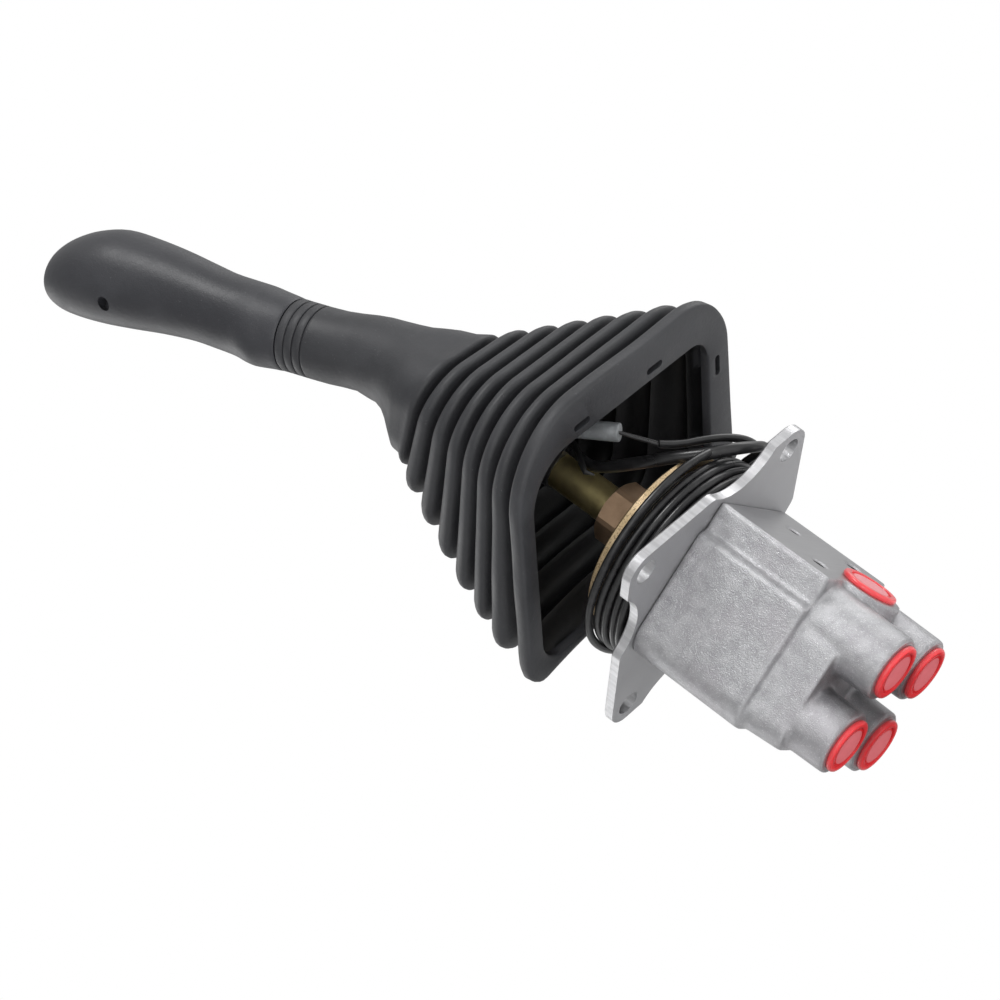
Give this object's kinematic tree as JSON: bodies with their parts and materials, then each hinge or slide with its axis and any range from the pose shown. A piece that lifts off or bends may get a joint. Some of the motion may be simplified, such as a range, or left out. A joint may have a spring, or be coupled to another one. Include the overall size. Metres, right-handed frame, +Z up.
{
  "type": "hydraulic pilot joystick valve",
  "caption": "Two-axis hydraulic pilot valve with a tilting lever, rubber bellows boot, grip with horn button, mounting plate and capped ports.",
  "frame": {"origin": "centre of the four bolt holes in the mounting plate's underside", "axes": "+Z up the lever; the push rods stand on X and Y, the tilt axes"},
  "size_m": [0.1232, 0.1219, 0.3794],
  "materials": {
    "casting": "cast, satin",
    "plate": "satin",
    "red_plastic": "gloss",
    "steel": "machined",
    "yellow_zinc": "yellow zinc plated",
    "boot_rubber": "satin",
    "grip_rubber": "satin",
    "seal_rubber": "matt",
    "cable_jacket": "satin",
    "grey_sleeve": "satin",
    "black_plastic": "satin"
  },
  "bodies": {
    "root": {"valve_casing": "casting", "mounting_plate": "plate", "port_caps": "red_plastic", "guide_bushes": "steel", "bush_orings": "seal_rubber", "rod_seals": "seal_rubber", "joint_base": "steel", "dust_boot": "seal_rubber", "cable_coil": "cable_jacket", "cable_lead": "cable_jacket", "cable_tail": "cable_jacket", "tail_wires": "cable_jacket", "connector_sleeve": "grey_sleeve", "return_spring_right": "steel", "return_spring_back": "steel", "return_spring_left": "steel", "return_spring_front": "steel"},
    "cross": {"joint_cross": "steel", "cross_pin_long": "steel", "cross_pins_short": "steel"},
    "lever": {"joint_yoke": "steel", "swash_plate": "yellow_zinc", "adjusting_nut": "yellow_zinc", "lock_nut": "yellow_zinc", "lever_rod": "yellow_zinc", "boot_bellows": "boot_rubber", "grip": "grip_rubber", "grip_screw": "steel", "horn_switch": "black_plastic", "horn_bezel": "black_plastic", "held_cable": "cable_jacket", "cable_tie": "black_plastic"},
    "button": {"horn_button": "black_plastic"},
    "rod_right": {"push_rod_right": "steel", "spring_seat_right": "steel"},
    "spool_right": {"spool_right": "steel", "stop_washer_right": "steel", "metering_spring_right": "steel"},
    "rod_back": {"push_rod_back": "steel", "spring_seat_back": "steel"},
    "spool_back": {"spool_back": "steel", "stop_washer_back": "steel", "metering_spring_back": "steel"},
    "rod_left": {"push_rod_left": "steel", "spring_seat_left": "steel"},
    "spool_left": {"spool_left": "steel", "stop_washer_left": "steel", "metering_spring_left": "steel"},
    "rod_front": {"push_rod_front": "steel", "spring_seat_front": "steel"},
    "spool_front": {"spool_front": "steel", "stop_washer_front": "steel", "metering_spring_front": "steel"}
  },
  "joints": [
    {"name": "tilt_x", "type": "hinge", "parent": "root", "child": "cross", "pos_m": [0, 0, 0.0125], "axis": [1, 0, 0], "range_deg": [-19, 19], "stiffness_Nm_per_rad": 6, "deforming": ["dust_boot", "cable_lead", "boot_bellows"]},
    {"name": "tilt_y", "type": "hinge", "parent": "cross", "child": "lever", "pos_m": [0, 0, 0.0125], "axis": [0, 1, 0], "range_deg": [-19, 19], "stiffness_Nm_per_rad": 6, "deforming": ["dust_boot", "cable_lead", "boot_bellows"]},
    {"name": "push_right", "type": "slide", "parent": "root", "child": "rod_right", "axis": [0, 0, 1], "range_m": [-0.00704, 0.00704], "deforming": ["return_spring_right", "metering_spring_right"]},
    {"name": "meter_right", "type": "slide", "parent": "root", "child": "spool_right", "axis": [0, 0, 1], "range_m": [-0.00142, 0.00142], "deforming": ["metering_spring_right"]},
    {"name": "push_back", "type": "slide", "parent": "root", "child": "rod_back", "axis": [0, 0, 1], "range_m": [-0.00704, 0.00704], "deforming": ["return_spring_back", "metering_spring_back"]},
    {"name": "meter_back", "type": "slide", "parent": "root", "child": "spool_back", "axis": [0, 0, 1], "range_m": [-0.00142, 0.00142], "deforming": ["metering_spring_back"]},
    {"name": "push_left", "type": "slide", "parent": "root", "child": "rod_left", "axis": [0, 0, 1], "range_m": [-0.00704, 0.00704], "deforming": ["return_spring_left", "metering_spring_left"]},
    {"name": "meter_left", "type": "slide", "parent": "root", "child": "spool_left", "axis": [0, 0, 1], "range_m": [-0.00142, 0.00142], "deforming": ["metering_spring_left"]},
    {"name": "push_front", "type": "slide", "parent": "root", "child": "rod_front", "axis": [0, 0, 1], "range_m": [-0.00704, 0.00704], "deforming": ["return_spring_front", "metering_spring_front"]},
    {"name": "meter_front", "type": "slide", "parent": "root", "child": "spool_front", "axis": [0, 0, 1], "range_m": [-0.00142, 0.00142], "deforming": ["metering_spring_front"]},
    {"name": "horn_press", "type": "slide", "parent": "lever", "child": "button", "axis": [0.7071, 0.7071, 0], "range_m": [-0.002, 0], "stiffness_N_per_m": 900}
  ],
  "couplings": [
    {"joint": "push_right", "follows": "tilt_y", "m_per_rad": -0.021213},
    {"joint": "meter_right", "follows": "tilt_y", "m_per_rad": -0.0042426},
    {"joint": "push_back", "follows": "tilt_x", "m_per_rad": 0.021213},
    {"joint": "meter_back", "follows": "tilt_x", "m_per_rad": 0.0042426},
    {"joint": "push_left", "follows": "tilt_y", "m_per_rad": 0.021213},
    {"joint": "meter_left", "follows": "tilt_y", "m_per_rad": 0.0042426},
    {"joint": "push_front", "follows": "tilt_x", "m_per_rad": -0.021213},
    {"joint": "meter_front", "follows": "tilt_x", "m_per_rad": -0.0042426}
  ]
}
